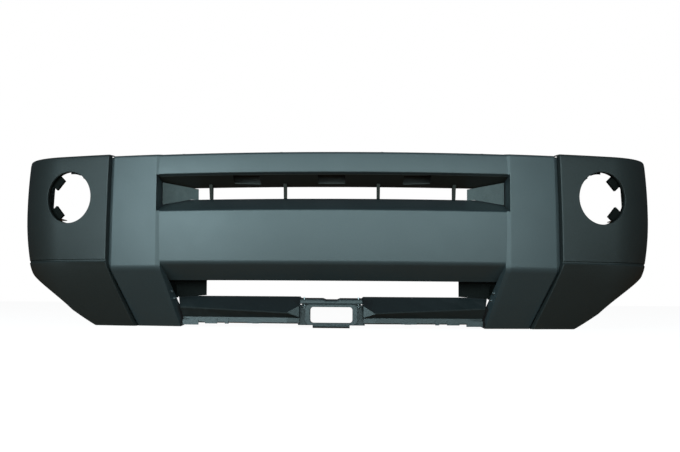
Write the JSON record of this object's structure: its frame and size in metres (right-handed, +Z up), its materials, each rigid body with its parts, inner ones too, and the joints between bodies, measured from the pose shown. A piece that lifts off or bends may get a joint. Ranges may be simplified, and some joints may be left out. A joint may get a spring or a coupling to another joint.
{
  "type": "bumper cover",
  "caption": "Front bumper cover with corner caps, upper and lower air intakes, round fog lamp apertures and a towing eye opening in the valance.",
  "frame": {"origin": "centre of the bounding box at the height of the lowest edges", "axes": "+X to the right seen from the front, +Y rearwards into the vehicle, +Z up; mirror plane X = 0"},
  "size_m": [1.8838, 0.5299, 0.494],
  "materials": {
    "skin": "satin, primed for paint",
    "cap": "fine grain, unpainted",
    "black": "coarse grain",
    "insert": "fine grain",
    "baffle": "satin",
    "valance": "fine grain",
    "steel": "zinc plated",
    "nylon": "smooth"
  },
  "bodies": {
    "cover": {"centre_skin": "skin", "corner_cap_left": "cap", "corner_cap_right": "cap", "upper_slot_insert": "insert", "air_baffle_left": "baffle", "air_baffle_right": "baffle", "lower_valance": "valance", "tow_eye_surround": "valance", "lower_cheek_left": "black", "lower_cheek_right": "black", "cheek_screws_left": "steel", "cheek_screws_right": "steel", "fog_lamp_bracket_left": "black", "fog_lamp_bracket_right": "black", "fog_bracket_screws_left": "steel", "fog_bracket_screws_right": "steel", "side_bracket_left": "steel", "side_bracket_right": "steel", "side_bracket_screws_left": "steel", "side_bracket_screws_right": "steel", "cap_screws_left": "steel", "cap_screws_right": "steel", "upper_mounting_strip": "steel", "push_rivet_sleeves": "nylon", "insert_clips": "steel", "valance_screws": "steel", "undertray_clips": "steel"},
    "rivet_pin_1_body": {"push_rivet_pin_1": "nylon"},
    "rivet_pin_2_body": {"push_rivet_pin_2": "nylon"},
    "rivet_pin_3_body": {"push_rivet_pin_3": "nylon"},
    "rivet_pin_4_body": {"push_rivet_pin_4": "nylon"}
  },
  "joints": [
    {"name": "rivet_pin_1_slide", "type": "slide", "parent": "cover", "child": "rivet_pin_1_body", "axis": [0, 0, 1], "range_m": [0, 0.008]},
    {"name": "rivet_pin_2_slide", "type": "slide", "parent": "cover", "child": "rivet_pin_2_body", "axis": [0, 0, 1], "range_m": [0, 0.008]},
    {"name": "rivet_pin_3_slide", "type": "slide", "parent": "cover", "child": "rivet_pin_3_body", "axis": [0, 0, 1], "range_m": [0, 0.008]},
    {"name": "rivet_pin_4_slide", "type": "slide", "parent": "cover", "child": "rivet_pin_4_body", "axis": [0, 0, 1], "range_m": [0, 0.008]}
  ]
}
